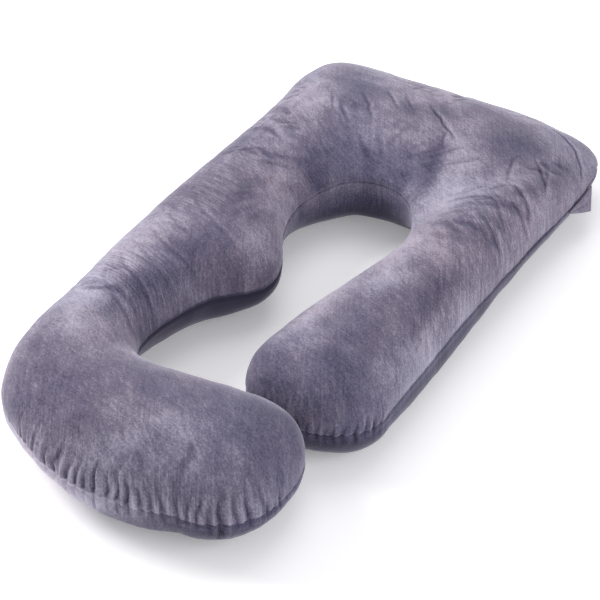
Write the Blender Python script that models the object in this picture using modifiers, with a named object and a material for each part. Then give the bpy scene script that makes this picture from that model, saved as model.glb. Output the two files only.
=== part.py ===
"""Body pillow for the whole length of a sleeper, laid flat.

A long filled cover runs from a short leg on the right, across a broad head bar, down a full
length arm on the left, and bends round into a hook whose end rests against the leg's end. The
cover is an upper and a lower panel, sewn edge to edge in one seam all round the outline.

Metres, +Z up. The head bar lies towards +Y and the hook's front towards -Y. The origin is under
the middle of the outline, on the surface that the pillow rests on.
"""

from collections import namedtuple

import bmesh
import bpy
import numpy as np

# Sections across the pillow, from the hook's end round to the leg's end.
# outer_x, outer_y and inner_x, inner_y: where the section meets the seam on either side
# crown: height of the ridge halfway between them
# inner_seam: height of the seam on the inner side
# shoulder: fullness of the upper panel on the outer side, 2 is an ellipse and more is boxier
# outer_belly, inner_belly: fullness of the lower panel on either side
Section = namedtuple(
    "Section",
    "outer_x outer_y inner_x inner_y crown inner_seam shoulder outer_belly inner_belly",
)
SECTIONS = (
    Section(0.143, -0.700, 0.145, -0.393, 0.200, 0.088, 2.3, 2.4, 2.0),
    Section(0.060, -0.721, 0.060, -0.402, 0.205, 0.088, 2.3, 2.7, 2.0),
    Section(-0.110, -0.714, -0.080, -0.415, 0.205, 0.088, 2.3, 1.9, 2.0),
    Section(-0.195, -0.677, -0.125, -0.400, 0.200, 0.088, 2.3, 1.9, 1.7),
    Section(-0.280, -0.625, -0.155, -0.365, 0.200, 0.088, 2.3, 1.9, 1.6),
    Section(-0.352, -0.315, -0.140, -0.205, 0.190, 0.092, 2.4, 1.9, 1.7),
    Section(-0.362, -0.195, -0.110, -0.145, 0.190, 0.090, 2.4, 1.9, 1.8),
    Section(-0.370, -0.025, -0.040, -0.045, 0.190, 0.090, 2.4, 1.9, 2.0),
    Section(-0.370, 0.045, -0.055, 0.015, 0.190, 0.100, 2.4, 2.0, 2.0),
    Section(-0.365, 0.125, -0.095, 0.080, 0.190, 0.105, 2.4, 2.0, 2.0),
    Section(-0.360, 0.225, -0.110, 0.140, 0.190, 0.115, 2.4, 2.0, 2.0),
    Section(-0.358, 0.515, -0.090, 0.245, 0.190, 0.125, 2.4, 2.0, 3.2),
    Section(-0.360, 0.635, -0.070, 0.275, 0.190, 0.130, 2.4, 2.0, 3.8),
    Section(-0.325, 0.708, -0.050, 0.295, 0.190, 0.130, 2.4, 2.0, 3.8),
    Section(-0.240, 0.725, -0.030, 0.305, 0.190, 0.130, 2.4, 2.0, 3.8),
    Section(-0.110, 0.722, -0.005, 0.310, 0.190, 0.130, 2.4, 2.0, 3.8),
    Section(0.160, 0.722, 0.070, 0.295, 0.190, 0.130, 2.4, 2.0, 3.0),
    Section(0.270, 0.718, 0.100, 0.265, 0.182, 0.125, 2.1, 2.0, 2.2),
    Section(0.336, 0.700, 0.120, 0.230, 0.175, 0.115, 1.8, 2.0, 1.9),
    Section(0.360, 0.628, 0.130, 0.190, 0.175, 0.110, 1.7, 1.8, 1.8),
    Section(0.363, 0.515, 0.135, 0.145, 0.185, 0.100, 2.1, 1.8, 1.8),
    Section(0.354, 0.365, 0.135, 0.090, 0.190, 0.100, 2.3, 1.8, 1.9),
    Section(0.342, -0.155, 0.065, -0.205, 0.195, 0.095, 2.3, 3.4, 2.1),
    Section(0.342, -0.255, 0.055, -0.280, 0.195, 0.095, 2.3, 2.8, 2.0),
)
OUTER_SEAM = 0.086
INNER_SHOULDER = 2.3

# The two round ends: how far the outline reaches past the middle of the end section, the
# height of the seam at the tip, the fullness of the outline, and that of the lower panel at
# the tip.
End = namedtuple("End", "section reach seam fullness belly")
HOOK_END = End(SECTIONS[0], (0.144, 0.004), 0.080, 2.3, 2.0)
LEG_END = End(SECTIONS[-1], (0.008, -0.132), 0.086, 2.4, 2.4)

# The filling's weight presses this much of the belly flat against the surface.
BELLY_FLATTENED = 0.008

# The seam is drawn in between the two panels.
SEAM_DRAWN_IN = 0.006

# Gathers where the cover is eased round its ends.
# place: distance along the seam from the tip of that end, towards the outer side
# depth: how far the trough lies below the ridges beside it
# reach: how far the trough runs up the side from the seam
Gather = namedtuple("Gather", "place depth reach")
HOOK_GATHERS = (
    Gather(0.030, 0.003, 0.030),
    Gather(0.062, 0.004, 0.045),
    Gather(0.097, 0.009, 0.080),
    Gather(0.121, 0.007, 0.070),
    Gather(0.155, 0.008, 0.070),
    Gather(0.180, 0.005, 0.050),
    Gather(0.200, 0.005, 0.055),
    Gather(0.218, 0.006, 0.060),
    Gather(0.238, 0.007, 0.060),
    Gather(0.270, 0.009, 0.060),
    Gather(0.290, 0.009, 0.065),
    Gather(0.310, 0.009, 0.060),
    Gather(0.330, 0.008, 0.065),
    Gather(0.353, 0.010, 0.075),
    Gather(0.376, 0.007, 0.060),
    Gather(0.405, 0.009, 0.075),
    Gather(0.425, 0.005, 0.050),
    Gather(0.447, 0.006, 0.070),
    Gather(0.469, 0.008, 0.060),
    Gather(0.498, 0.005, 0.065),
    Gather(0.522, 0.005, 0.050),
    Gather(0.563, 0.004, 0.060),
    Gather(0.592, 0.003, 0.030),
    Gather(0.615, 0.003, 0.055),
)
LEG_GATHERS = (
    Gather(0.016, 0.004, 0.030),
    Gather(0.039, 0.005, 0.030),
    Gather(0.056, 0.005, 0.030),
    Gather(0.076, 0.004, 0.025),
    Gather(0.092, 0.005, 0.025),
    Gather(0.108, 0.005, 0.035),
    Gather(0.126, 0.006, 0.025),
    Gather(0.150, 0.007, 0.030),
    Gather(0.170, 0.006, 0.035),
    Gather(0.190, 0.007, 0.040),
    Gather(0.211, 0.006, 0.050),
)
GATHER_AT_SEAM = 0.4
GATHER_BELOW_SEAM = 0.6

# Rows of points from the seam to the ridge, as shares of a quarter turn, and the pitch of the
# ribs that they lie on where there are no gathers.
RIB_SHARES = (0.0, 0.06, 0.16, 0.28, 0.42, 0.57, 0.72, 0.86, 1.0)
SIDE_PITCH = 0.036
END_RIBS = 9
SAMPLES = 1200

# The loose corner of the lower panel, hanging out below the seam at the right of the head bar.
# Its upper edge runs along the seam between two places up the pillow, its free corner hangs
# below and outside the seam, and soft folds fan out from its root and fade before the free edge.
FLAP_ROOT_Y = 0.488
FLAP_TOP_Y = 0.600
FLAP_CORNER_Y = 0.560
FLAP_DROP = 0.036
FLAP_SPREAD = 0.017
FLAP_SAG = 0.0015
FLAP_ROOT_WIDTH = 0.004
FLAP_THICKNESS = 0.003
FLAP_CLEARANCE = 0.0005
FLAP_BELOW_SEAM = 0.002
FLAP_FOLDS = 2
FLAP_FOLD_HEIGHT = 0.004
FLAP_ROWS = 12
FLAP_COLUMNS = 10

# Brushed short-pile velvet, as linear colour.
VELVET_COLOUR = (0.205, 0.185, 0.245, 1.0)
VELVET_ROUGHNESS = 0.85
CREASE_ANGLE = 0.7

# One rib: the half of a section between the seam and the ridge.
Rib = namedtuple("Rib", "seam seam_height ridge crown shoulder belly push reach")
NO_GATHER = (0.0, 1.0)


def clear_scene():
    """Remove every object that the scene starts with."""
    for obj in list(bpy.data.objects):
        bpy.data.objects.remove(obj, do_unlink=True)


def smooth_sections(shares):
    """Sections at the given shares of the way round, on a natural cubic through the table."""
    rows = np.array(SECTIONS)
    steps = np.diff(rows[:, 0:4], axis=0)
    gaps = np.hypot(steps[:, 0], steps[:, 1]) + np.hypot(steps[:, 2], steps[:, 3])
    knots = np.concatenate([[0.0], np.cumsum(gaps)])
    count = len(knots)
    system = np.eye(count)
    target = np.zeros_like(rows)
    for i in range(1, count - 1):
        system[i, i - 1:i + 2] = gaps[i - 1], 2 * (gaps[i - 1] + gaps[i]), gaps[i]
        target[i] = 6 * ((rows[i + 1] - rows[i]) / gaps[i] - (rows[i] - rows[i - 1]) / gaps[i - 1])
    bends = np.linalg.solve(system, target)
    place = np.asarray(shares) * knots[-1]
    k = np.clip(np.searchsorted(knots, place, side="right") - 1, 0, count - 2)
    before = ((knots[k + 1] - place) / gaps[k])[:, None]
    after = ((place - knots[k]) / gaps[k])[:, None]
    bend = (before ** 3 - before) * bends[k] + (after ** 3 - after) * bends[k + 1]
    smooth = before * rows[k] + after * rows[k + 1] + bend * gaps[k, None] ** 2 / 6
    return [Section(*row) for row in smooth]


def distances(points):
    """Distance along a line of points."""
    steps = np.linalg.norm(np.diff(points, axis=0), axis=1)
    return np.concatenate([[0.0], np.cumsum(steps)])


def superellipse(angle, fullness):
    """Cosine and sine of a superellipse of the given fullness."""
    power = 2.0 / fullness
    cos, sin = np.cos(angle), np.sin(angle)
    return np.sign(cos) * np.abs(cos) ** power, np.sign(sin) * np.abs(sin) ** power


def outer_point(section):
    return np.array([section.outer_x, section.outer_y])


def inner_point(section):
    return np.array([section.inner_x, section.inner_y])


def side_rib(section, inner_side, push=0.0, reach=1.0):
    """The rib of a section on its outer or its inner side."""
    outer, inner = outer_point(section), inner_point(section)
    ridge = (outer + inner) / 2
    if inner_side:
        return Rib(inner, section.inner_seam, ridge, section.crown, INNER_SHOULDER,
                   section.inner_belly, push, reach)
    return Rib(outer, OUTER_SEAM, ridge, section.crown, section.shoulder,
               section.outer_belly, push, reach)


def end_seam(end, angle):
    """The seam's place in plan round an end, at an angle from its tip."""
    outer, inner = outer_point(end.section), inner_point(end.section)
    forward, sideways = superellipse(angle, end.fullness)
    middle = (outer + inner) / 2
    return middle + forward * np.array(end.reach) + sideways * (inner - outer) / 2


def end_rib(end, angle, push=0.0, reach=1.0):
    """The rib that meets the seam round an end, at an angle from its tip."""
    section = end.section
    inner_share = (np.sin(angle) + 1) / 2
    side_seam = OUTER_SEAM + (section.inner_seam - OUTER_SEAM) * inner_share
    side_belly = section.outer_belly + (section.inner_belly - section.outer_belly) * inner_share
    tip_share = np.cos(angle) ** 2
    seam_height = side_seam + (end.seam - side_seam) * tip_share
    belly = side_belly + (end.belly - side_belly) * tip_share
    ridge = (outer_point(section) + inner_point(section)) / 2
    return Rib(end_seam(end, angle), seam_height, ridge, section.crown, INNER_SHOULDER,
               belly, push, reach)


def gather_stops(gathers):
    """Each trough and the ridge after it: distance from the tip, push outwards, and reach."""
    stops = []
    for gather, following in zip(gathers, gathers[1:] + gathers[-1:]):
        stops.append((gather.place, -gather.depth / 2, gather.reach))
        if following is not gather:
            middle = (gather.place + following.place) / 2
            height = min(gather.depth, following.depth) / 2
            stops.append((middle, height, (gather.reach + following.reach) / 2))
    return stops


def gathered_end_ribs(end, gathers):
    """Ribs from an end's tip to its outer side, with the length of seam between them."""
    angles = np.linspace(0.0, -np.pi / 2, SAMPLES)
    length = distances(np.array([end_seam(end, angle) for angle in angles]))
    stops = [stop for stop in gather_stops(gathers) if stop[0] < length[-1]]
    ribs = [end_rib(end, np.interp(place, length, angles), push, reach)
            for place, push, reach in stops]
    return [end_rib(end, 0.0)] + ribs, length[-1]


def plain_end_ribs(end):
    """Ribs from an end's tip to its inner side, without the tip."""
    angles = np.linspace(0.0, np.pi / 2, END_RIBS + 1, endpoint=False)[1:]
    return [end_rib(end, angle) for angle in angles]


def side_stations(hook_front):
    """Where the ribs of the two sides stand: share of the way round, push and reach."""
    shares = np.linspace(0.0, 1.0, SAMPLES)
    seam = np.array([outer_point(section) for section in smooth_sections(shares)])
    length = hook_front + distances(seam)
    stops = [stop for stop in gather_stops(HOOK_GATHERS) if stop[0] > hook_front]
    stations = [(0.0, *NO_GATHER)]
    for place, push, reach in stops:
        stations.append((np.interp(place, length, shares), push, reach))
    start = np.interp(stops[-1][0], length, shares)
    count = int((length[-1] - stops[-1][0]) / SIDE_PITCH)
    for share in np.linspace(start, 1.0, count)[1:]:
        stations.append((share, *NO_GATHER))
    return stations


def rib_points(rib, upper):
    """Points of one rib from the seam to the ridge, on the upper or the lower panel."""
    angle = np.array(RIB_SHARES) * np.pi / 2
    span = rib.seam - rib.ridge
    half_width = np.linalg.norm(span)
    out, up = superellipse(angle, rib.shoulder if upper else rib.belly)
    rise = rib.crown - rib.seam_height if upper else -(rib.seam_height + BELLY_FLATTENED)
    width, height = half_width * out, rib.seam_height + rise * up
    arc = distances(np.column_stack([width, height]))
    lift = rib.push * np.sqrt(np.clip(1.0 - arc / rib.reach, 0.0, 1.0))
    lift[0] *= GATHER_AT_SEAM
    lift *= 1.0 if upper else GATHER_BELOW_SEAM
    width = width + lift * np.cos(angle)
    width[0] -= SEAM_DRAWN_IN
    height = height + lift * np.sin(angle) * np.sign(rise)
    height[0] = rib.seam_height
    plan = rib.ridge + np.outer(width, span / half_width)
    return np.column_stack([plan, np.maximum(height, 0.0)])


def build_pillow(material):
    """Loft both panels between the seam and the ridge, and close them into one body."""
    hook_front, hook_length = gathered_end_ribs(HOOK_END, HOOK_GATHERS)
    leg_outer, _ = gathered_end_ribs(LEG_END, LEG_GATHERS)
    stations = side_stations(hook_length)
    sections = smooth_sections([station[0] for station in stations])
    outer = [side_rib(s, False, *station[1:]) for s, station in zip(sections, stations)]
    inner = [side_rib(s, True) for s in sections]
    hook = plain_end_ribs(HOOK_END)[::-1] + hook_front
    leg = leg_outer[::-1] + plain_end_ribs(LEG_END)
    last = len(sections) - 1
    ribs = hook + outer + leg + inner[::-1]
    ridge_of = ([0] * len(hook) + list(range(last + 1)) + [last] * len(leg)
                + list(range(last, -1, -1)))

    bm = bmesh.new()
    crowns = [bm.verts.new((*rib.ridge, rib.crown)) for rib in outer]
    soles = [bm.verts.new((*rib.ridge, 0.0)) for rib in outer]
    columns = []
    for rib, station in zip(ribs, ridge_of):
        above, below = rib_points(rib, True), rib_points(rib, False)
        seam = bm.verts.new(above[0])
        upper = [seam] + [bm.verts.new(p) for p in above[1:-1]] + [crowns[station]]
        lower = [seam] + [bm.verts.new(p) for p in below[1:-1]] + [soles[station]]
        columns.append((upper, lower))
    for this, following in zip(columns, columns[1:] + columns[:1]):
        for left, right in zip(this, following):
            for j in range(len(left) - 1):
                corners = [left[j], right[j], right[j + 1], left[j + 1]]
                bm.faces.new(list(dict.fromkeys(corners)))
    bmesh.ops.recalc_face_normals(bm, faces=bm.faces)
    return add_object("pillow", bm, material)


def right_seam():
    """The seam down the right of the pillow, as points from the head bar downwards."""
    sections = smooth_sections(np.linspace(0.0, 1.0, SAMPLES))
    side = [outer_point(s) for s in sections if s.outer_x > LEG_END.section.outer_x]
    return np.array(side)


def build_corner_flap(material):
    """The loose corner as a thin sheet between the seam and its own free corner."""
    seam = right_seam()[::-1]
    off_seam = FLAP_CLEARANCE + FLAP_THICKNESS / 2
    height = OUTER_SEAM - FLAP_BELOW_SEAM

    def beside_seam(y):
        return np.array([np.interp(y, seam[:, 1], seam[:, 0]) + off_seam, y, height])

    root = beside_seam(FLAP_ROOT_Y) - np.array([0.0, 0.0, FLAP_ROOT_WIDTH])
    corner = beside_seam(FLAP_CORNER_Y) + np.array([FLAP_SPREAD, 0.0, -FLAP_DROP])
    bm = bmesh.new()
    grid = []
    for a in np.linspace(0.0, 1.0, FLAP_COLUMNS + 1):
        top = beside_seam(FLAP_ROOT_Y + a * (FLAP_TOP_Y - FLAP_ROOT_Y))
        bottom = root + (corner - root) * a - np.array([0.0, 0.0, FLAP_SAG * np.sin(np.pi * a)])
        column = []
        height_here = FLAP_FOLD_HEIGHT * np.sin(np.pi * a)
        for b in np.linspace(0.0, 1.0, FLAP_ROWS + 1):
            fold = height_here * (1 - np.cos(2 * np.pi * FLAP_FOLDS * b)) / 2
            column.append(bm.verts.new(top + (bottom - top) * b + np.array([fold, 0.0, 0.0])))
        grid.append(column)
    for this, following in zip(grid, grid[1:]):
        for j in range(FLAP_ROWS):
            bm.faces.new([this[j], this[j + 1], following[j + 1], following[j]])
    bmesh.ops.recalc_face_normals(bm, faces=bm.faces)
    flap = add_object("corner_flap", bm, material)
    wall = flap.modifiers.new("cloth thickness", "SOLIDIFY")
    wall.thickness = FLAP_THICKNESS
    wall.offset = 0.0
    return flap


def add_object(name, bm, material):
    """Turn a bmesh into a named object of the pillow's collection."""
    mesh = bpy.data.meshes.new(name)
    bm.to_mesh(mesh)
    bm.free()
    mesh.materials.append(material)
    mesh.shade_smooth()
    mesh.set_sharp_from_angle(angle=CREASE_ANGLE)
    obj = bpy.data.objects.new(name, mesh)
    collection = bpy.data.collections.get("body pillow")
    collection.objects.link(obj)
    return obj


def velvet():
    """The cover's brushed velvet."""
    material = bpy.data.materials.new("grey violet velvet")
    material.use_nodes = True
    shader = material.node_tree.nodes["Principled BSDF"]
    shader.inputs["Base Color"].default_value = VELVET_COLOUR
    shader.inputs["Roughness"].default_value = VELVET_ROUGHNESS
    shader.inputs["Metallic"].default_value = 0.0
    return material


def centre_on_origin(objects):
    """Move the meshes so that the middle of the whole outline lies over the origin."""
    points = np.array([v.co[:] for obj in objects for v in obj.data.vertices])
    middle = (points.min(axis=0) + points.max(axis=0)) / 2
    for obj in objects:
        for vertex in obj.data.vertices:
            vertex.co.x -= middle[0]
            vertex.co.y -= middle[1]


def main():
    clear_scene()
    bpy.context.scene.collection.children.link(bpy.data.collections.new("body pillow"))
    material = velvet()
    objects = [build_pillow(material), build_corner_flap(material)]
    centre_on_origin(objects)


main()
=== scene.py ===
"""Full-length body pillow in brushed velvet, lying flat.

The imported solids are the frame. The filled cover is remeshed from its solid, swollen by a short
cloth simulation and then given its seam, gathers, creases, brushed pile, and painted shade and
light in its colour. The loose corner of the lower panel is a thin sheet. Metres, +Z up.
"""

import math
from collections import namedtuple

import bmesh
import bpy
import numpy as np
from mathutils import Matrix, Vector, kdtree, noise


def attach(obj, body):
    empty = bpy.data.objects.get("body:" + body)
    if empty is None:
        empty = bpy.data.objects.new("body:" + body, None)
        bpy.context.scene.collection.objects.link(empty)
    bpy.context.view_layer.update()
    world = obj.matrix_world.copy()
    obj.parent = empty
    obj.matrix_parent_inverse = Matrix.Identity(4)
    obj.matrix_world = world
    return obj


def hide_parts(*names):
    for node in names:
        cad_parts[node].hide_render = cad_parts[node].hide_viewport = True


# Camera, as the photograph looks at the pillow
AZIMUTH = 30.2
ELEVATION = 38.0
CAMERA_DISTANCE = 3.94
CAMERA_TARGET = (-0.036, 0.038, 0.0)
CAMERA_SIGHT = 50.0
LENS = 115.2
SENSOR = 36.0

# Stage
FLOOR_SIDE = 12.0
FLOOR_COLOUR = (0.96, 0.96, 0.965, 1.0)
FLOOR_GLOW = 0.22
FLOOR_ROUGHNESS = 0.9
FLOOR_GLOSS = 0.1

# Soft area lights: name, place, what each is turned to, size, power and colour
Light = namedtuple("Light", "name place aim side power colour")
LIGHTS = (
    Light("key", (-2.7, -0.5, 1.9), (0.0, 0.0, 0.05), 1.6, 90.0, (1.0, 0.985, 0.97)),
    Light("overhead", (-0.4, 1.2, 3.0), (0.0, 0.0, 0.0), 2.4, 28.0, (1.0, 1.0, 1.0)),
    Light("side fill", (2.6, -0.3, 1.4), (0.1, 0.0, 0.1), 2.0, 32.0, (0.98, 0.98, 1.0)),
)
WORLD_COLOUR = (0.97, 0.97, 1.0, 1.0)
WORLD_STRENGTH = 0.50

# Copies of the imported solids: points this close are merged, and triangles are joined in pairs
# where the angle between their faces and between their corners is under these
MERGE_WITHIN = 0.00001
JOINED_FACE_ANGLE = 0.7
JOINED_CORNER_ANGLE = 1.2
ROUNDING_LEVELS = 2

# The seam is the closed line of edges where the solid folds inwards by more than an angle, about
# level and at mid height. It starts at the hook's tip, which lies before a place in Y.
SEAM_FOLD = 0.35
SEAM_SLOPE = 0.35
SEAM_HEIGHTS = (0.07, 0.15)
HOOK_BEFORE_Y = -0.45

# Places along the seam are measured at even steps on the outline this far outside it, and the
# leg's tip lies between these shares of its length
SEAM_STEP = 0.002
SEAM_DRAWN_IN = 0.006
LEG_SHARES = (0.45, 0.80)

# Even faces of the filled cover, halved along the seam, in the gathers and in the narrow creases
COVER_PITCH = 0.006
FINE_BAND = 0.010
FINE_GATHERS = 0.095
FINE_CREASE = 0.0004
FINE_CREASE_ABOVE = 0.1
COVER_LEVELS = 1

# Swelling of the filled cover: the cloth, the pressure in it and how long it acts
CLOTH_QUALITY = 5
CLOTH_MASS = 0.25
CLOTH_BENDING = 0.1
SWELL_PRESSURE = 4.0
SWELL_FRAMES = 16

# Only what differs from the averaged swelling is kept: the rounds of averaging, the greatest
# height, and the distances from the seam between which it fades in
SWELL_EVENED = 40
SWELL_KEPT = 0.0022
SWELL_FROM_SEAM = (0.045, 0.105)

# The hook's end almost meets the leg's here, so both are drawn back while the cover is remeshed
ENDS_MEET = (0.126, -0.391, 0.102)
ENDS_EASED = 0.011
ENDS_REACH = 0.080

# How far each seed shifts a noise
SEED_SHIFT = (7.3, 3.1, 5.7)

# Uneven filling under the cover: height, lumps for each metre, and seed
Lump = namedtuple("Lump", "height scale seed")
LUMPS = (
    Lump(0.0024, 8.0, 1.0),
    Lump(0.0011, 24.0, 2.0),
)

# The sewn line: a groove where the thread draws in, and a soft roll beside it
GROOVE_DEPTH = 0.0022
GROOVE_WIDTH = 0.0022
ROLL_HEIGHT = 0.0010
ROLL_PLACE = 0.008
ROLL_WIDTH = 0.004

# Over this height above the seam, the lower panel's brushed areas and painted shade give way to
# the upper panel's brushed areas, painted light and shade, and creases
PANEL_BLEND = 0.01

# Fine puckers beside the seam: how many along it and away from it in a metre, their height, how
# much higher they are at the gathers, how far they reach, and the seed
Pucker = namedtuple("Pucker", "along away height gathered reach seed")
PUCKERS = (
    Pucker(75.0, 10.0, 0.0013, 0.0009, 0.030, 3.0),
    Pucker(140.0, 14.0, 0.0, 0.0026, 0.045, 8.0),
)
PUCKERS_BELOW = 0.35

# Gathers at the two round ends, one row for each trough
# place: distance along the seam from that end's tip, towards the outer side
# depth: of the trough below the round ridges beside it
# reach and below: how far it runs up the upper panel and down the lower one
# lean: how far it drifts along the seam for each metre that it climbs
Gather = namedtuple("Gather", "place depth reach below lean")
HOOK_GATHERS = (
    Gather(0.000, 0.0000, 0.036, 0.010, 0.00),
    Gather(0.030, 0.0030, 0.042, 0.010, 0.20),
    Gather(0.062, 0.0045, 0.060, 0.012, 0.20),
    Gather(0.097, 0.0080, 0.102, 0.016, 0.20),
    Gather(0.121, 0.0065, 0.090, 0.014, 0.15),
    Gather(0.155, 0.0085, 0.096, 0.070, 0.10),
    Gather(0.180, 0.0050, 0.066, 0.012, 0.05),
    Gather(0.200, 0.0060, 0.072, 0.014, 0.00),
    Gather(0.218, 0.0055, 0.078, 0.014, 0.00),
    Gather(0.238, 0.0060, 0.078, 0.016, 0.05),
    Gather(0.270, 0.0075, 0.078, 0.018, 0.10),
    Gather(0.290, 0.0075, 0.084, 0.016, 0.15),
    Gather(0.310, 0.0080, 0.078, 0.018, 0.15),
    Gather(0.330, 0.0075, 0.090, 0.020, 0.15),
    Gather(0.353, 0.0100, 0.102, 0.026, 0.10),
    Gather(0.376, 0.0070, 0.078, 0.024, 0.00),
    Gather(0.405, 0.0100, 0.096, 0.036, -0.10),
    Gather(0.425, 0.0055, 0.066, 0.026, -0.20),
    Gather(0.447, 0.0060, 0.090, 0.028, -0.25),
    Gather(0.469, 0.0075, 0.078, 0.028, -0.20),
    Gather(0.498, 0.0050, 0.084, 0.020, -0.15),
    Gather(0.522, 0.0050, 0.066, 0.016, -0.10),
    Gather(0.563, 0.0045, 0.078, 0.014, 0.00),
    Gather(0.592, 0.0030, 0.042, 0.010, 0.00),
    Gather(0.615, 0.0030, 0.072, 0.010, 0.00),
    Gather(0.650, 0.0000, 0.036, 0.010, 0.00),
)
LEG_GATHERS = (
    Gather(-0.080, 0.0000, 0.020, 0.010, 0.00),
    Gather(-0.050, 0.0020, 0.025, 0.010, 0.00),
    Gather(-0.022, 0.0025, 0.025, 0.012, 0.00),
    Gather(0.000, 0.0030, 0.030, 0.014, 0.00),
    Gather(0.016, 0.0035, 0.032, 0.016, 0.00),
    Gather(0.039, 0.0045, 0.032, 0.018, 0.00),
    Gather(0.056, 0.0045, 0.034, 0.018, 0.05),
    Gather(0.076, 0.0035, 0.028, 0.018, 0.05),
    Gather(0.092, 0.0045, 0.030, 0.020, 0.05),
    Gather(0.108, 0.0050, 0.038, 0.024, 0.10),
    Gather(0.126, 0.0060, 0.030, 0.024, 0.10),
    Gather(0.150, 0.0070, 0.036, 0.028, 0.15),
    Gather(0.170, 0.0060, 0.040, 0.018, 0.20),
    Gather(0.190, 0.0070, 0.046, 0.014, 0.25),
    Gather(0.211, 0.0065, 0.060, 0.010, 0.30),
    Gather(0.245, 0.0000, 0.030, 0.010, 0.30),
)

# A gather's section: the cloth's level between ridge and trough, the power that squares the
# ridge's arch, the trough's dip, its half width at both ends, how much it opens in between, and
# the power that puts its widest place below half way
GATHER_LEVEL = 0.45
GATHER_SQUARE = 0.8
GATHER_DIP = 0.45
GATHER_PINCH = 0.0022
GATHER_OPEN = 0.0040
GATHER_WIDEST_LOW = 0.7

# The power by which a gather fades as it climbs, its share of the depth at the seam, and the
# distance from the seam where it has all of it
GATHER_FADE = 1.3
GATHER_AT_SEAM = 0.35
GATHER_FULL = 0.016

# How unevenly the gathers run: how far they drift, and the drift's scale along and up the panel
GATHER_DRIFT = 0.0100
DRIFT_ALONG = 14.0
DRIFT_AWAY = 30.0
DRIFT_SEED = 6.0

# A row of gathers fades over this length at both ends
GATHER_ENDS = 0.040

# The ridges hang over the seam in scallops, by these heights at the hook and at the leg
SCALLOPS = (0.0007, 0.0018)
SCALLOP_REACH = 0.018

# How much paler painted light makes a gather's ridge, and how much darker painted shade makes the
# cloth at its level and in its trough, where it is at least this deep
RIDGE_PAINTED_HIGHLIGHT = 0.55
LEVEL_PAINTED_SHADE = 0.20
TROUGH_PAINTED_SHADE = 0.85
FULLY_SHADED_DEPTH = 0.006

# Creases across the upper panel, from one end to the other, with the bow of the middle to the
# left, the width and the depth of the trough, and how much darker painted shade makes it
Crease = namedtuple("Crease", "x0 y0 x1 y1 bow width depth tone")
CREASES = (
    Crease(-0.030, 0.572, 0.105, 0.456, 0.004, 0.0030, 0.0032, 1.00),
    Crease(0.052, 0.494, 0.080, 0.430, 0.003, 0.0034, 0.0010, 0.40),
    Crease(0.040, 0.505, 0.105, 0.265, 0.014, 0.0180, 0.0042, 0.35),
    Crease(-0.134, 0.582, -0.060, 0.506, 0.000, 0.0028, 0.0015, 0.75),
    Crease(-0.086, 0.578, -0.034, 0.518, 0.002, 0.0028, 0.0012, 0.60),
    Crease(-0.180, 0.548, -0.093, 0.444, 0.004, 0.0030, 0.0014, 0.65),
    Crease(-0.192, 0.475, -0.146, 0.426, 0.000, 0.0028, 0.0010, 0.55),
    Crease(-0.230, 0.508, -0.184, 0.430, 0.002, 0.0028, 0.0010, 0.55),
    Crease(-0.112, 0.400, -0.040, 0.332, 0.004, 0.0060, 0.0013, 0.45),
    Crease(-0.070, 0.420, -0.020, 0.350, 0.003, 0.0045, 0.0010, 0.35),
    Crease(0.195, 0.672, 0.362, 0.524, 0.038, 0.0028, 0.0026, 0.80),
    Crease(0.245, 0.527, 0.330, 0.412, 0.008, 0.0032, 0.0020, 0.80),
    Crease(0.224, 0.508, 0.260, 0.382, -0.010, 0.0042, 0.0016, 0.55),
    Crease(0.285, 0.515, 0.322, 0.425, 0.003, 0.0030, 0.0012, 0.55),
    Crease(0.244, 0.398, 0.340, 0.320, 0.012, 0.0042, 0.0022, 0.75),
    Crease(0.284, 0.334, 0.346, 0.298, 0.006, 0.0038, 0.0014, 0.55),
    Crease(0.260, 0.254, 0.336, 0.188, 0.006, 0.0038, 0.0016, 0.55),
    Crease(0.230, 0.330, 0.310, 0.250, 0.010, 0.0034, 0.0012, 0.45),
    Crease(-0.300, 0.044, -0.080, -0.080, -0.020, 0.0040, 0.0009, 0.35),
    Crease(-0.310, -0.030, -0.150, -0.110, -0.020, 0.0035, 0.0008, 0.30),
    Crease(-0.320, -0.090, -0.130, -0.170, -0.022, 0.0040, 0.0010, 0.40),
    Crease(-0.320, -0.140, -0.125, -0.235, -0.022, 0.0035, 0.0008, 0.30),
    Crease(-0.320, -0.190, -0.120, -0.300, -0.024, 0.0040, 0.0010, 0.40),
    Crease(-0.300, -0.270, -0.130, -0.370, -0.020, 0.0040, 0.0009, 0.35),
)

# Each crease fades over this share of its length at both ends, and has a low lip beside its
# trough: the lip's share of the depth, its place and its width in widths of the trough
CREASE_ENDS = 0.35
LIP_HEIGHT = 0.4
LIP_PLACE = 2.2
LIP_WIDTH = 1.4

# How far the creases wander, at what scale, and the seeds in X and in Y
CREASE_WOBBLE = 0.0035
CREASE_WOBBLE_SCALE = 45.0
CREASE_SEEDS = (9.0, 10.0)
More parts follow.
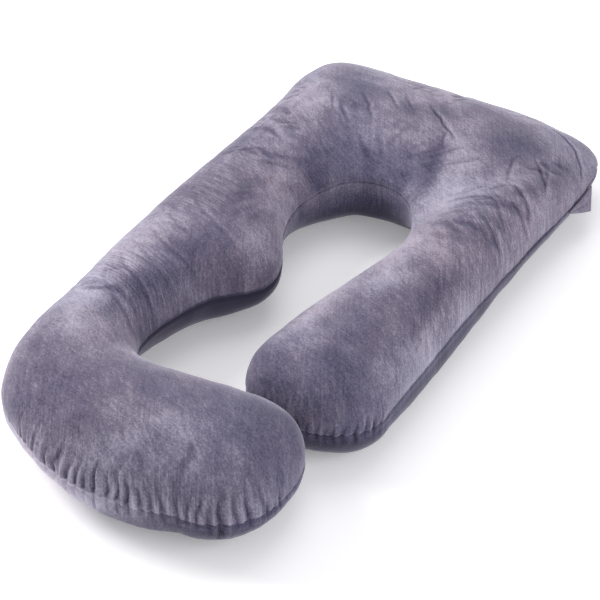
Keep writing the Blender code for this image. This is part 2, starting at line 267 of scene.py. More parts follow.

# Soft darker and lighter areas, partly where the pile is brushed one way or the other and partly
# painted shade and painted light where the light falls unevenly; on the lower panel they are
# painted shade and painted bounce light from the floor: place in plan, half length, half width,
# turn in degrees from +X, tone, and the panel that they are on, which is 1 for the upper one, -1
# for the lower one and 0 for both
Patch = namedtuple("Patch", "x y long wide turn tone panel")
NAP_AND_PAINTED_LIGHT_PATCHES = (
    Patch(-0.178, 0.541, 0.080, 0.045, -60, -0.28, 1),
    Patch(-0.045, 0.530, 0.045, 0.030, -60, -0.26, 1),
    Patch(0.015, 0.560, 0.050, 0.034, -60, -0.26, 1),
    Patch(0.095, 0.618, 0.055, 0.026, -10, -0.20, 1),
    Patch(-0.062, 0.345, 0.070, 0.050, 30, -0.15, 1),
    Patch(0.022, 0.335, 0.080, 0.050, 30, -0.20, 1),
    Patch(-0.150, 0.120, 0.060, 0.050, -60, 0.25, 1),
    Patch(-0.010, 0.420, 0.080, 0.036, 20, 0.14, 1),
    Patch(0.068, 0.420, 0.065, 0.022, -80, -0.12, 1),
    Patch(0.126, 0.400, 0.110, 0.036, -82, 0.18, 1),
    Patch(0.245, 0.530, 0.085, 0.060, -28, -0.27, 1),
    Patch(0.175, 0.505, 0.050, 0.040, -60, -0.12, 1),
    Patch(0.285, 0.350, 0.110, 0.050, -80, 0.02, 1),
    Patch(-0.120, 0.280, 0.110, 0.055, -60, -0.30, 1),
    Patch(-0.320, 0.530, 0.110, 0.055, -75, 0.18, 1),
    Patch(-0.262, 0.140, 0.150, 0.060, -90, -0.20, 1),
    Patch(-0.268, -0.585, 0.080, 0.050, -60, 0.03, 1),
    Patch(0.285, -0.345, 0.060, 0.050, 0, -0.14, 1),
    Patch(-0.165, -0.070, 0.130, 0.075, -60, -0.16, 1),
    Patch(-0.105, -0.110, 0.045, 0.060, -60, 0.03, 1),
    Patch(-0.205, -0.280, 0.095, 0.052, -28, -0.22, 1),
    Patch(-0.325, -0.190, 0.150, 0.045, -88, 0.27, 1),
    Patch(-0.300, 0.000, 0.090, 0.060, -90, -0.10, 1),
    Patch(-0.250, -0.395, 0.110, 0.050, -60, 0.20, 1),
    Patch(-0.100, -0.020, 0.090, 0.030, -80, 0.14, 1),
    Patch(0.005, -0.669, 0.070, 0.036, 20, 0.02, 1),
    Patch(-0.113, -0.690, 0.100, 0.050, -10, -0.14, 1),
    Patch(0.112, -0.690, 0.080, 0.032, 20, -0.14, 1),
    Patch(0.215, -0.545, 0.080, 0.080, 0, -0.12, 1),
    Patch(0.110, -0.480, 0.170, 0.055, 12, -0.20, 1),
    Patch(-0.120, -0.560, 0.130, 0.080, -50, -0.10, 1),
    Patch(0.228, -0.225, 0.135, 0.065, -86, -0.26, 1),
    Patch(0.280, -0.030, 0.095, 0.048, -80, -0.18, 1),
    Patch(0.221, 0.062, 0.060, 0.022, -40, -0.12, 1),
    Patch(0.115, -0.110, 0.130, 0.040, -80, 0.38, 1),
    Patch(0.325, -0.120, 0.130, 0.034, -90, 0.18, 1),
    Patch(0.145, 0.080, 0.120, 0.036, -70, 0.40, 1),
    Patch(0.190, 0.115, 0.070, 0.050, -65, 0.40, 1),
    Patch(0.150, 0.290, 0.060, 0.030, -75, 0.22, 1),
    Patch(0.040, -0.712, 0.160, 0.030, -5, 0.20, 1),
    Patch(-0.222, 0.110, 0.140, 0.050, -88, -0.10, 1),
    Patch(-0.245, -0.640, 0.050, 0.040, -60, -0.15, 1),
    Patch(0.200, 0.455, 0.050, 0.040, -60, -0.12, 1),
    Patch(0.262, 0.155, 0.060, 0.045, -70, -0.10, 1),
    Patch(0.115, -0.610, 0.080, 0.040, 20, -0.06, 1),
    Patch(0.125, -0.674, 0.070, 0.026, 10, 0.10, 1),
    Patch(0.322, 0.395, 0.070, 0.040, -80, 0.14, 1),
    Patch(0.187, -0.045, 0.075, 0.040, -80, 0.12, 1),
    Patch(0.318, 0.612, 0.060, 0.035, -60, 0.10, 1),
    Patch(0.130, -0.365, 0.080, 0.040, -45, -0.30, 1),
    # On the lower panel: painted bounce light at the hook's left, and painted shade in the head
    # opening and along the right side
    Patch(-0.165, -0.700, 0.200, 0.085, -25, 1.20, -1),
    Patch(0.280, -0.390, 0.120, 0.060, 30, -0.30, -1),
    Patch(0.230, -0.640, 0.130, 0.060, 45, -0.30, -1),
    Patch(-0.100, -0.190, 0.150, 0.100, 40, -1.25, -1),
    Patch(-0.010, -0.050, 0.100, 0.080, 60, -0.60, -1),
    Patch(0.345, -0.050, 0.350, 0.060, 90, -0.34, -1),
    Patch(0.355, 0.350, 0.200, 0.050, 90, -0.28, -1),
    Patch(0.040, 0.320, 0.160, 0.060, 15, -0.06, -1),
)

# How far the areas' edges wander, at what scale, and the seeds in X and in Y
PATCH_WARP = 0.018
PATCH_WARP_SCALE = 28.0
PATCH_SEEDS = (4.0, 5.0)

# Fine stretch lines in the cloth: place in plan, half length, half width, turn of the area,
# which of the three directions below the lines run in, and their strength
Strain = namedtuple("Strain", "x y long wide turn way amount")
STRAINS = (
    Strain(-0.270, 0.060, 0.180, 0.100, -85, 0, 0.9),
    Strain(-0.260, -0.260, 0.140, 0.100, -80, 0, 1.0),
    Strain(-0.160, -0.290, 0.110, 0.070, -80, 1, 0.9),
    Strain(-0.150, -0.130, 0.110, 0.060, -60, 2, 0.5),
    Strain(-0.210, 0.380, 0.160, 0.100, -60, 1, 0.6),
    Strain(0.000, 0.480, 0.200, 0.120, 10, 2, 0.5),
    Strain(0.290, 0.280, 0.160, 0.090, -80, 1, 0.8),
    Strain(0.320, 0.020, 0.220, 0.060, -88, 2, 0.8),
    Strain(0.290, 0.560, 0.100, 0.080, -60, 2, 0.6),
    Strain(0.280, -0.560, 0.090, 0.050, -70, 2, 0.5),
    Strain(-0.140, -0.665, 0.230, 0.065, -25, 2, 0.6),
    Strain(0.120, -0.700, 0.170, 0.055, 10, 2, 0.6),
    Strain(0.230, -0.360, 0.140, 0.055, 20, 2, 0.5),
)
LINE_TURNS = (-14, -38, -62)

# How long, wide and deep each line is, and the lines' strength everywhere
LINE_STRETCH = (0.075, 0.0036, 0.075)
LINES_EVERYWHERE = 0.30

# Painted shade in the seam's groove, which is darkest round the head opening, and the lower
# panel's painted shade towards the floor
SEAM_PAINTED_SHADE = 0.40
SEAM_PAINTED_SHADE_WIDTH = 0.0026
HEAD_OPENING = Patch(0.010, 0.200, 0.190, 0.190, 0, 1.50, 0)
UNDER_SHADE = 0.75

# Painted light and shade of the puckers at a height and of the kept swelling, paler where they
# rise and darker where they dip, and the palest that painted light makes a crease's lip
PUCKER_PAINTED_SHADING = 0.5
PUCKER_SHADED_HEIGHT = 0.0022
SWELL_PAINTED_SHADING = 0.5
LIP_PAINTED_HIGHLIGHT = 0.4

# The flap's cut rim keeps its corners
FLAP_RIM_ANGLE = 0.9
FLAP_LEVELS = 2

# Velvet's colour from its darkest tone at 0 to its palest at 1
Stop = namedtuple("Stop", "tone colour")
VELVET_COLOURS = (
    Stop(0.00, (0.036, 0.031, 0.058, 1.0)),
    Stop(0.25, (0.078, 0.070, 0.118, 1.0)),
    Stop(0.50, (0.156, 0.135, 0.190, 1.0)),
    Stop(1.00, (0.440, 0.400, 0.480, 1.0)),
)
# The plain tone, and the weight of the folds' painted shade and light in the tone
PLAIN_TONE = 0.53
FOLD_PAINTED_SHADING_WEIGHT = 0.46

# Velvet's mottle, from broad areas to single hairs: the noise's scale, detail and roughness, and
# its weight in the tone, in the hue or in the relief
Mottle = namedtuple("Mottle", "scale detail roughness weight")
BROAD = Mottle(6.0, 3.0, 0.50, 0.50)
BRUSHED = Mottle(19.0, 7.0, 0.70, 0.62)
GRAIN = Mottle(240.0, 3.0, 0.75, 0.80)
LINES = Mottle(1.0, 4.0, 0.65, 1.15)
HUES = Mottle(4.5, 3.0, 0.50, 3.0)
PILE = Mottle(420.0, 3.0, 0.50, 0.5)
WARM_HUE = (1.03, 0.99, 0.985, 1.0)
COOL_HUE = (0.955, 1.00, 1.04, 1.0)

# Velvet's relief and gloss
LINE_RELIEF = 1.6
BUMP_STRENGTH = 0.6
BUMP_HEIGHT = 0.0012
VELVET_ROUGHNESS = 0.85
VELVET_GLOSS = 0.18
SHEEN = 0.55
SHEEN_ROUGHNESS = 0.40
SHEEN_TINT = (0.86, 0.84, 0.95, 1.0)


def point_at(obj, target):
    """Turn an object so that its -Z axis points at the target."""
    direction = Vector(target) - obj.location
    obj.rotation_euler = direction.to_track_quat("-Z", "Y").to_euler()


def make_camera():
    azimuth, elevation = math.radians(AZIMUTH), math.radians(ELEVATION)
    back = Vector((
        math.sin(azimuth) * math.cos(elevation),
        -math.cos(azimuth) * math.cos(elevation),
        math.sin(elevation),
    ))
    data = bpy.data.cameras.new("camera")
    data.lens = LENS
    data.sensor_width = SENSOR
    data.clip_end = CAMERA_SIGHT
    camera = bpy.data.objects.new("camera", data)
    bpy.context.scene.collection.objects.link(camera)
    camera.location = Vector(CAMERA_TARGET) + back * CAMERA_DISTANCE
    point_at(camera, CAMERA_TARGET)
    bpy.context.scene.camera = camera


def make_lights():
    for light in LIGHTS:
        data = bpy.data.lights.new(light.name, "AREA")
        data.shape = "DISK"
        data.size = light.side
        data.energy = light.power
        data.color = light.colour
        lamp = bpy.data.objects.new(light.name, data)
        bpy.context.scene.collection.objects.link(lamp)
        lamp.location = light.place
        point_at(lamp, light.aim)
    world = bpy.data.worlds.new("studio")
    bpy.context.scene.world = world
    world.use_nodes = True
    sky = world.node_tree.nodes["Background"]
    sky.inputs["Color"].default_value = WORLD_COLOUR
    sky.inputs["Strength"].default_value = WORLD_STRENGTH


def make_floor():
    bpy.ops.mesh.primitive_plane_add(size=FLOOR_SIDE)
    floor = bpy.context.object
    floor.name = "floor"
    material = bpy.data.materials.new("pale floor")
    material.use_nodes = True
    shader = material.node_tree.nodes["Principled BSDF"]
    shader.inputs["Base Color"].default_value = FLOOR_COLOUR
    shader.inputs["Roughness"].default_value = FLOOR_ROUGHNESS
    shader.inputs["Specular IOR Level"].default_value = FLOOR_GLOSS
    shader.inputs["Emission Color"].default_value = FLOOR_COLOUR
    shader.inputs["Emission Strength"].default_value = FLOOR_GLOW
    floor.data.materials.append(material)


def select_only(obj):
    bpy.ops.object.select_all(action="DESELECT")
    obj.select_set(True)
    bpy.context.view_layer.objects.active = obj


def apply_modifier(obj, modifier):
    select_only(obj)
    bpy.ops.object.modifier_apply(modifier=modifier.name)


def subdivide(obj, levels):
    """Round an object's mesh off by applied subdivision."""
    rounding = obj.modifiers.new("rounding", "SUBSURF")
    rounding.levels = levels
    rounding.render_levels = levels
    apply_modifier(obj, rounding)


def read_points(mesh):
    points = np.empty(len(mesh.vertices) * 3, np.float32)
    mesh.vertices.foreach_get("co", points)
    return points.reshape(-1, 3).astype(float)


def read_normals(mesh):
    normals = np.empty(len(mesh.vertices) * 3, np.float32)
    mesh.vertices.foreach_get("normal", normals)
    return normals.reshape(-1, 3).astype(float)


def read_values(mesh, name):
    """A vertex attribute's values, or zeros where the mesh has none by that name."""
    values = np.zeros(len(mesh.vertices), np.float32)
    if name in mesh.attributes:
        mesh.attributes[name].data.foreach_get("value", values)
    return values.astype(float)


def write_points(mesh, points):
    mesh.vertices.foreach_set("co", points.astype(np.float32).ravel())
    mesh.update()


def write_attribute(mesh, name, values):
    """Keep a number or a vector for each vertex, for the velvet to read."""
    kind, field = ("FLOAT_VECTOR", "vector") if values.ndim == 2 else ("FLOAT", "value")
    attribute = mesh.attributes.new(name, kind, "POINT")
    attribute.data.foreach_set(field, values.astype(np.float32).ravel())


def bell(value):
    return np.exp(-np.square(value))


def smooth_step(value):
    share = np.clip(value, 0.0, 1.0)
    return share * share * (3 - 2 * share)


def noise_at(points, scale, seed):
    shift = Vector([seed * step for step in SEED_SHIFT])
    return np.array([noise.noise(Vector(p) * scale + shift) for p in points])


def seam_noise(place, distance, along, away, seed):
    """Noise at one scale along the seam and another away from it."""
    stretched = np.column_stack([place * along, distance * away, np.zeros(len(place))])
    return noise_at(stretched, 1.0, seed)


def wandering(points, amount, scale, seeds):
    """The points' places in plan, shifted so that straight lines and edges wander."""
    plan = points[:, :2].copy()
    for axis, seed in enumerate(seeds):
        plan[:, axis] += amount * noise_at(points, scale, seed)
    return plan


def copy_of_solid(solid, name):
    """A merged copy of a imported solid, as a bmesh and the new object that it goes into."""
    bm = bmesh.new()
    bm.from_mesh(solid.data)
    bmesh.ops.remove_doubles(bm, verts=bm.verts, dist=MERGE_WITHIN)
    mesh = bpy.data.meshes.new(name)
    obj = bpy.data.objects.new(name, mesh)
    bpy.context.scene.collection.objects.link(obj)
    return bm, obj


def join_facets(bm):
    """Join the solid's triangles in pairs, so that it subdivides evenly."""
    bmesh.ops.join_triangles(
        bm,
        faces=bm.faces,
        angle_face_threshold=JOINED_FACE_ANGLE,
        angle_shape_threshold=JOINED_CORNER_ANGLE,
    )


def seam_points(bm):
    """The seam as a closed line of points, from the hook's tip round its front."""
    beside = {}
    low, high = SEAM_HEIGHTS
    for edge in bm.edges:
        one, other = edge.link_faces
        first, second = edge.verts
        along = second.co - first.co
        across = other.calc_center_median() - one.calc_center_median()
        folds_in = across.dot(one.normal) > 0 and one.normal.angle(other.normal) > SEAM_FOLD
        level = abs(along.z) < SEAM_SLOPE * along.length
        if folds_in and level and low < first.co.z < high:
            beside.setdefault(first, []).append(second)
            beside.setdefault(second, []).append(first)
    hook = [vert for vert in beside if vert.co.y < HOOK_BEFORE_Y]
    tip = max(hook, key=lambda vert: vert.co.x)
    line = [tip]
    here = min(beside[tip], key=lambda vert: vert.co.y)
    while here is not tip:
        line.append(here)
        here = next(vert for vert in beside[here] if vert not in line[-2:])
    return np.array([vert.co[:] for vert in line])


def even_line(points, step):
    """A closed line at even steps."""
    closed = np.vstack([points, points[:1]])
    gaps = np.linalg.norm(np.diff(closed, axis=0), axis=1)
    along = np.concatenate([[0.0], np.cumsum(gaps)])
    places = np.arange(0.0, along[-1], step)
    return np.column_stack([np.interp(places, along, closed[:, axis]) for axis in range(3)])


class Seam:
    """The seam line, with the sewn outline's own distances."""

    def __init__(self, points):
        self.line = even_line(points, SEAM_STEP)
        tangent = np.roll(self.line, -2, axis=0) - np.roll(self.line, 2, axis=0)
        outward = np.column_stack([-tangent[:, 1], tangent[:, 0]])
        outward /= np.linalg.norm(outward, axis=1)[:, None]
        middle = self.line[:, :2].mean(axis=0)
        foot = self.line[:, 1].argmin()
        if (outward[foot] @ (self.line[foot, :2] - middle)) < 0:
            outward = -outward
        edge = self.line[:, :2] + outward * SEAM_DRAWN_IN
        gaps = np.linalg.norm(np.diff(np.vstack([edge, edge[:1]]), axis=0), axis=1)
        self.place = np.concatenate([[0.0], np.cumsum(gaps)])[:-1]
        self.length = gaps.sum()
        share = self.place / self.length
        leg_side = (share > LEG_SHARES[0]) & (share < LEG_SHARES[1])
        self.leg_tip = self.place[np.where(leg_side, self.line[:, 1], np.inf).argmin()]
        self.tree = kdtree.KDTree(len(self.line))
        for index, point in enumerate(self.line):
            self.tree.insert(point, index)
        self.tree.balance()

    def measure(self, points):
        """Distance from the seam, place along it and its height there, for each point."""
        found = [self.tree.find(point) for point in points]
        index = np.array([item[1] for item in found])
        distance = np.array([item[2] for item in found])
        return distance, self.place[index], self.line[index, 2]

    def from_tips(self, place):
        """Distance along the seam from the hook's tip and the leg's, towards the outer side."""
        half = self.length / 2
        hook = (place + half) % self.length - half
        leg = (self.leg_tip - place + half) % self.length - half
        return hook, leg


def ease_ends(points, normals, amount):
    """Move both ends out by an amount where they almost meet."""
    near = bell(np.linalg.norm(points - np.array(ENDS_MEET), axis=1) / ENDS_REACH)
    return points + normals * (amount * near)[:, None]


def round_cover(bm, obj):
    """Round the solid's facets off and remesh them evenly."""
    join_facets(bm)
    bm.to_mesh(obj.data)
    bm.free()
    subdivide(obj, ROUNDING_LEVELS)
    write_points(obj.data, ease_ends(read_points(obj.data), read_normals(obj.data), -ENDS_EASED))
    even = obj.modifiers.new("even faces", "REMESH")
    even.mode = "VOXEL"
    even.voxel_size = COVER_PITCH
    apply_modifier(obj, even)


def run_cloth(obj):
    """Swell the cover by a cloth simulation with pressure inside."""
    cloth = obj.modifiers.new("filling", "CLOTH")
    cloth.settings.quality = CLOTH_QUALITY
    cloth.settings.mass = CLOTH_MASS
    cloth.settings.bending_stiffness = CLOTH_BENDING
    cloth.settings.use_pressure = True
    cloth.settings.uniform_pressure_force = SWELL_PRESSURE
    cloth.settings.effector_weights.gravity = 0.0
    for number in range(1, SWELL_FRAMES + 1):
        bpy.context.scene.frame_set(number)
    apply_modifier(obj, cloth)
    bpy.context.scene.frame_set(1)


def evened_out(mesh, values):
    """Values that are averaged over the neighbouring vertices, many times over."""
    edges = np.empty(len(mesh.edges) * 2, np.int32)
    mesh.edges.foreach_get("vertices", edges)
    edges = edges.reshape(-1, 2)
    count = np.bincount(edges.ravel(), minlength=len(values))
    evened = values.copy()
    for _ in range(SWELL_EVENED):
        total = np.bincount(edges[:, 0], evened[edges[:, 1]], len(values))
        total += np.bincount(edges[:, 1], evened[edges[:, 0]], len(values))
        evened = total / count
    return evened


def swell_cover(obj, seam):
    """Swell the cover under pressure, and keep what isn't even swelling, away from the seam."""
    start = read_points(obj.data)
    run_cloth(obj)
    moved = read_points(obj.data) - start
    normals = read_normals(obj.data)
    out = (moved * normals).sum(axis=1)
    uneven = out - evened_out(obj.data, out)
    distance, _, _ = seam.measure(start)
    nearest, farthest = SWELL_FROM_SEAM
    kept = SWELL_KEPT * np.tanh(uneven / SWELL_KEPT)
    kept *= smooth_step((distance - nearest) / (farthest - nearest))
    write_points(obj.data, start + normals * kept[:, None])
    write_attribute(obj.data, "swell", kept)


def gathers(distance, from_tip, above, rows):
    """Round ridges between troughs that open half way up: height, painted highlight and shade,
    and the ridges' arch.
    """
    places, depths, reaches, belows, leans = np.array(rows).T
    leaned = from_tip - np.interp(from_tip, places, leans) * distance * above
    index = np.clip(np.searchsorted(places, leaned) - 1, 0, len(rows) - 2)
    spacing = places[index + 1] - places[index]
    share = np.clip((leaned - places[index]) / spacing, 0.0, 1.0)
    inside = (leaned > places[0]) & (leaned < places[-1])
    depth = np.interp(leaned, places, depths) * inside
    reach = np.where(above, np.interp(leaned, places, reaches), np.interp(leaned, places, belows))
    climb = np.clip(distance / reach, 0.0, 1.0)
    fade = (1.0 - climb) ** GATHER_FADE
    rising = GATHER_AT_SEAM + (1.0 - GATHER_AT_SEAM) * smooth_step(distance / GATHER_FULL)
    arch = np.sin(np.pi * share) ** GATHER_SQUARE
    width = GATHER_PINCH + GATHER_OPEN * np.sin(np.pi * climb ** GATHER_WIDEST_LOW)
    pinch = bell(np.minimum(share, 1.0 - share) * spacing / width)
    height = depth * fade * rising * (arch - GATHER_LEVEL - GATHER_DIP * pinch)
    # Painted shading: a painted highlight on each ridge, and painted shade at its level and in
    # its trough
    shaded_share = np.clip(depth / FULLY_SHADED_DEPTH, 0.0, 1.0)
    tone = shaded_share * fade * rising * (RIDGE_PAINTED_HIGHLIGHT * arch - LEVEL_PAINTED_SHADE - TROUGH_PAINTED_SHADE * pinch)
    return height, tone, arch * shaded_share


def within(from_tip, rows):
    """1 inside a row of gathers, fading to 0 at its two ends."""
    inward = np.minimum(from_tip - rows[0].place, rows[-1].place - from_tip)
    return smooth_step(inward / GATHER_ENDS)


def puckered(place, distance, above, gathered):
    """Height of the fine puckers beside the seam."""
    height = np.zeros(len(place))
    for row in PUCKERS:
        amount = (row.height + row.gathered * gathered) * np.exp(-distance / row.reach)
        height += amount * seam_noise(place, distance, row.along, row.away, row.seed)
    return height * (PUCKERS_BELOW + (1.0 - PUCKERS_BELOW) * above)


def crease_lines(points):
    """Displacement and painted shade of the creases across the upper panel, with painted light on
    their lips.
    """
    height, tone = np.zeros(len(points)), np.zeros(len(points))
    plan = wandering(points, CREASE_WOBBLE, CREASE_WOBBLE_SCALE, CREASE_SEEDS)
    for row in CREASES:
        start = np.array([row.x0, row.y0])
        span = np.array([row.x1, row.y1]) - start
        length = np.linalg.norm(span)
        along = span / length
        left = np.array([-along[1], along[0]])
        offset = plan - start
        share = (offset @ along) / length
        bow = row.bow * 4 * share * (1 - share)
        across = (offset @ left - bow) / row.width
        fade = smooth_step(np.minimum(share, 1 - share) / CREASE_ENDS)
        trough = fade * (bell(across) - LIP_HEIGHT * bell((across - LIP_PLACE) / LIP_WIDTH))
        height -= row.depth * trough
        # Painted shade in the trough, and painted light on the lip beside it
        tone -= row.tone * trough
    return height, tone


def soft_area(plan, row):
    """Share of a turned oval area in plan, 1 in its middle and fading to 0."""
    turn = math.radians(row.turn)
    offset = plan - np.array([row.x, row.y])
    along = offset @ np.array([math.cos(turn), math.sin(turn)])
    across = offset @ np.array([-math.sin(turn), math.cos(turn)])
    return bell(np.hypot(along / row.long, across / row.wide))


def brushed_areas_and_painted_light(points, upper):
    """Tone of the brushed areas with their painted shade and painted light, with uneven edges."""
    plan = wandering(points, PATCH_WARP, PATCH_WARP_SCALE, PATCH_SEEDS)
    total = np.zeros(len(points))
    for row in NAP_AND_PAINTED_LIGHT_PATCHES:
        panel = upper if row.panel > 0 else 1.0 - upper
        total += row.tone * soft_area(plan, row) * panel
    return total


def stretch_strengths(plan, upper):
    """How strong the fine lines of each direction are."""
    total = np.full((len(plan), len(LINE_TURNS)), LINES_EVERYWHERE)
    for row in STRAINS:
        area = row.amount * soft_area(plan, row) * upper
        total[:, row.way] = np.maximum(total[:, row.way], area)
    return total


def refine_detail(obj, seam):
    """Halve the faces along the seam, in the gathers and along the narrow creases."""
    points = read_points(obj.data)
    distance, place, _ = seam.measure(points)
    fine = distance < FINE_BAND
    for from_tip, rows in zip(seam.from_tips(place), (HOOK_GATHERS, LEG_GATHERS)):
        inside = (from_tip > rows[0].place) & (from_tip < rows[-1].place)
        fine |= inside & (distance < FINE_GATHERS)
    crease, _ = crease_lines(points)
    fine |= (np.abs(crease) > FINE_CREASE) & (points[:, 2] > FINE_CREASE_ABOVE)
    bm = bmesh.new()
    bm.from_mesh(obj.data)
    edges = [edge for edge in bm.edges if all(fine[vert.index] for vert in edge.verts)]
    bmesh.ops.subdivide_edges(bm, edges=edges, cuts=1, use_grid_fill=True)
    bm.to_mesh(obj.data)
    bm.free()


def dress_cover(obj, seam):
    """Sew the seam, gather the ends, crease the panels and press the underside flat."""
    points = read_points(obj.data)
    normals = read_normals(obj.data)
    plan = points[:, :2]
    distance, place, seam_height = seam.measure(points)
    above = points[:, 2] > seam_height
    upper = np.clip((points[:, 2] - seam_height) / PANEL_BLEND, 0.0, 1.0)

    drift = GATHER_DRIFT * seam_noise(place, distance, DRIFT_ALONG, DRIFT_AWAY, DRIFT_SEED)
    hook_tip, leg_tip = (from_tip + drift for from_tip in seam.from_tips(place))
    hook, hook_painted_shading, hook_arch = gathers(distance, hook_tip, above, HOOK_GATHERS)
    leg, leg_painted_shading, leg_arch = gathers(distance, leg_tip, above, LEG_GATHERS)
    gathered = np.maximum(within(hook_tip, HOOK_GATHERS), within(leg_tip, LEG_GATHERS))
    puckers = puckered(place, distance, above, gathered)
    creases, crease_painted_shade = crease_lines(points)
    groove = GROOVE_DEPTH * bell(distance / GROOVE_WIDTH)
    roll = ROLL_HEIGHT * bell((distance - ROLL_PLACE) / ROLL_WIDTH)
    relief = roll - groove + hook + leg + creases * upper + puckers
    lumps = sum(row.height * noise_at(points, row.scale, row.seed) for row in LUMPS)

    moved = ease_ends(points, normals, ENDS_EASED) + normals * (relief + lumps)[:, None]
    scallops = SCALLOPS[0] * hook_arch + SCALLOPS[1] * leg_arch
    moved[:, 2] -= scallops * bell(distance / SCALLOP_REACH)
    moved[:, 2] = np.maximum(moved[:, 2], 0.0)
    write_points(obj.data, moved)

    # Painted shade along the seam's groove, deepened round the head opening
    seam_painted_shade = SEAM_PAINTED_SHADE + HEAD_OPENING.tone * soft_area(plan, HEAD_OPENING)
    # Painted shade and light of the folds: darker creases, troughs, seam groove and dips, paler
    # ridges, lips and rises
    fold_painted_shading = np.clip(crease_painted_shade, -1.0, LIP_PAINTED_HIGHLIGHT) * upper
    fold_painted_shading += PUCKER_PAINTED_SHADING * puckers / PUCKER_SHADED_HEIGHT
    fold_painted_shading += SWELL_PAINTED_SHADING * read_values(obj.data, "swell") / SWELL_KEPT
    fold_painted_shading += hook_painted_shading + leg_painted_shading - seam_painted_shade * bell(distance / SEAM_PAINTED_SHADE_WIDTH)
    # Painted shade on the lower panel, darker towards the floor
    under = np.clip(1.0 - points[:, 2] / seam_height, 0.0, 1.0)
    nap_and_painted_light = brushed_areas_and_painted_light(points, upper) - UNDER_SHADE * under * (1.0 - upper)
    write_attribute(obj.data, "fold_painted_shading", np.clip(fold_painted_shading, -1.0, 1.0))
    write_attribute(obj.data, "nap_and_painted_light", nap_and_painted_light)
    write_attribute(obj.data, "strain", stretch_strengths(plan, upper))


def make_cover(solid):
    bm, obj = copy_of_solid(solid, "pillow_cover")
    seam = Seam(seam_points(bm))
    round_cover(bm, obj)
    swell_cover(obj, seam)
    refine_detail(obj, seam)
    subdivide(obj, COVER_LEVELS)
    dress_cover(obj, seam)
    obj.data.shade_smooth()
    return obj


def make_flap(solid):
    bm, obj = copy_of_solid(solid, "corner_flap_cloth")
    join_facets(bm)
    sharpness = bm.edges.layers.float.new("crease_edge")
    for edge in bm.edges:
        if edge.calc_face_angle(0.0) > FLAP_RIM_ANGLE:
            edge[sharpness] = 1.0
    bm.to_mesh(obj.data)
    bm.free()
    subdivide(obj, FLAP_LEVELS)
    obj.data.shade_smooth()
    return obj


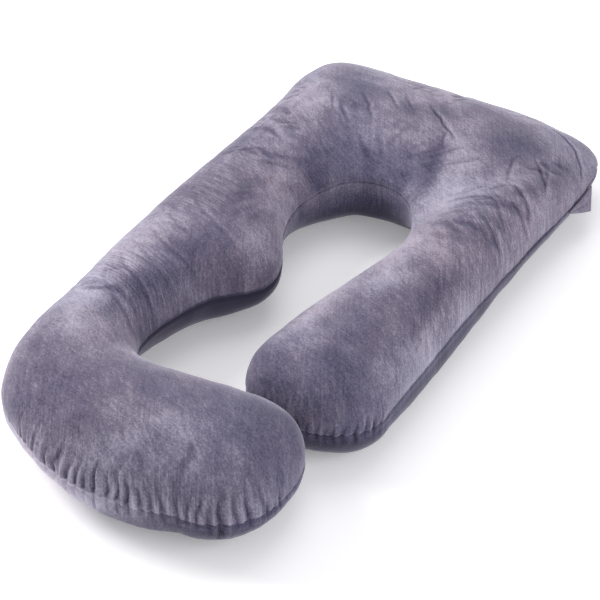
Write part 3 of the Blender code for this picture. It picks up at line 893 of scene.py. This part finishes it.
class Velvet:
    """Brushed short-pile velvet: brushed areas, painted shade and light, mottled pile, stretch
    lines, grain and sheen.
    """

    def __init__(self, name):
        self.material = bpy.data.materials.new(name)
        self.material.use_nodes = True
        self.tree = self.material.node_tree
        self.shader = self.tree.nodes["Principled BSDF"]
        self.shader.inputs["Roughness"].default_value = VELVET_ROUGHNESS
        self.shader.inputs["Specular IOR Level"].default_value = VELVET_GLOSS
        self.shader.inputs["Sheen Weight"].default_value = SHEEN
        self.shader.inputs["Sheen Roughness"].default_value = SHEEN_ROUGHNESS
        self.shader.inputs["Sheen Tint"].default_value = SHEEN_TINT
        self.place = self.node("ShaderNodeTexCoord").outputs["Object"]
        lines = self.stretch_lines()
        self.link(self.hued(self.colour(self.tone(lines))), self.shader.inputs["Base Color"])
        self.link(self.relief(lines), self.shader.inputs["Normal"])

    def node(self, kind, **values):
        made = self.tree.nodes.new(kind)
        for key, value in values.items():
            setattr(made, key, value)
        return made

    def link(self, output, socket):
        self.tree.links.new(output, socket)

    def attribute(self, name, output):
        """A vertex attribute of the cloth, as a number or as a vector."""
        return self.node("ShaderNodeAttribute", attribute_name=name).outputs[output]

    def mottle(self, vector, row):
        """A noise from -0.5 to 0.5."""
        texture = self.node("ShaderNodeTexNoise")
        texture.inputs["Scale"].default_value = row.scale
        texture.inputs["Detail"].default_value = row.detail
        texture.inputs["Roughness"].default_value = row.roughness
        self.link(vector, texture.inputs["Vector"])
        return self.sum((texture.outputs["Fac"], 1.0), offset=-0.5)

    def sum(self, *terms, offset=0.0):
        """The sum of value times weight, and the offset."""
        total = None
        for value, weight in terms:
            part = self.node("ShaderNodeMath", operation="MULTIPLY_ADD")
            self.link(value, part.inputs[0])
            part.inputs[1].default_value = weight
            if total is None:
                part.inputs[2].default_value = offset
            else:
                self.link(total, part.inputs[2])
            total = part.outputs[0]
        return total

    def product(self, one, other):
        part = self.node("ShaderNodeMath", operation="MULTIPLY")
        self.link(one, part.inputs[0])
        self.link(other, part.inputs[1])
        return part.outputs[0]

    def stretch_lines(self):
        """Fine lines in three directions, each as strong as the cloth is strained there."""
        strain = self.node("ShaderNodeSeparateXYZ")
        self.link(self.attribute("strain", "Vector"), strain.inputs[0])
        terms = []
        for turn, strength in zip(LINE_TURNS, strain.outputs):
            turned = self.node("ShaderNodeMapping", vector_type="TEXTURE")
            turned.inputs["Rotation"].default_value = (0.0, 0.0, math.radians(turn))
            turned.inputs["Scale"].default_value = LINE_STRETCH
            self.link(self.place, turned.inputs["Vector"])
            lines = self.mottle(turned.outputs["Vector"], LINES)
            terms.append((self.product(lines, strength), 1.0))
        return self.sum(*terms)

    def tone(self, lines):
        """How pale the cloth is, from the brushed areas and the painted shade and light of the
        folds and panels down to the grain.
        """
        return self.sum(
            # The first two terms carry painted shade and light: the brushed areas' and the folds'
            (self.attribute("nap_and_painted_light", "Fac"), 1.0),
            (self.attribute("fold_painted_shading", "Fac"), FOLD_PAINTED_SHADING_WEIGHT),
            (self.mottle(self.place, BROAD), BROAD.weight),
            (self.mottle(self.place, BRUSHED), BRUSHED.weight),
            (self.mottle(self.place, GRAIN), GRAIN.weight),
            (lines, LINES.weight),
            offset=PLAIN_TONE,
        )

    def colour(self, tone):
        """The colour of a tone."""
        node = self.node("ShaderNodeValToRGB")
        stops = node.color_ramp.elements
        stops[0].color = VELVET_COLOURS[0].colour
        stops[1].color = VELVET_COLOURS[-1].colour
        for stop in VELVET_COLOURS[1:-1]:
            stops.new(stop.tone).color = stop.colour
        self.link(tone, node.inputs["Fac"])
        return node.outputs["Color"]

    def hued(self, colour):
        """A colour made a little warmer and cooler from place to place."""
        hue = self.node("ShaderNodeMix", data_type="RGBA")
        hue.inputs["A"].default_value = WARM_HUE
        hue.inputs["B"].default_value = COOL_HUE
        share = self.sum((self.mottle(self.place, HUES), HUES.weight), offset=0.5)
        self.link(share, hue.inputs["Factor"])
        tinted = self.node("ShaderNodeMix", data_type="RGBA", blend_type="MULTIPLY")
        tinted.inputs["Factor"].default_value = 1.0
        self.link(colour, tinted.inputs["A"])
        self.link(hue.outputs["Result"], tinted.inputs["B"])
        return tinted.outputs["Result"]

    def relief(self, lines):
        """The pile and the stretch lines, as a fine bump."""
        height = self.sum((self.mottle(self.place, PILE), PILE.weight), (lines, LINE_RELIEF))
        bump = self.node("ShaderNodeBump")
        bump.inputs["Strength"].default_value = BUMP_STRENGTH
        bump.inputs["Distance"].default_value = BUMP_HEIGHT
        self.link(height, bump.inputs["Height"])
        return bump.outputs["Normal"]


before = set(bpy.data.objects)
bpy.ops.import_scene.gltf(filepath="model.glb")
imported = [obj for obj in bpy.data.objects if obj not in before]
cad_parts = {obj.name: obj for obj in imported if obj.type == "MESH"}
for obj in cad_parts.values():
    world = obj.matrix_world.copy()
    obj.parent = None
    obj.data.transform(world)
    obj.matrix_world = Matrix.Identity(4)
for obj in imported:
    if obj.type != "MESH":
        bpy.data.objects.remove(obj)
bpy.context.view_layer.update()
bpy.context.scene.view_settings.view_transform = "Standard"
make_camera()
make_lights()
make_floor()

material = Velvet("velvet").material
cover = make_cover(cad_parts["pillow"])
cover.data.materials.append(material)
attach(cover, "root")
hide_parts("pillow")

flap = make_flap(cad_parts["corner_flap"])
flap.data.materials.clear()
flap.data.materials.append(material)
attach(flap, "root")
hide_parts("corner_flap")

bpy.context.view_layer.update()
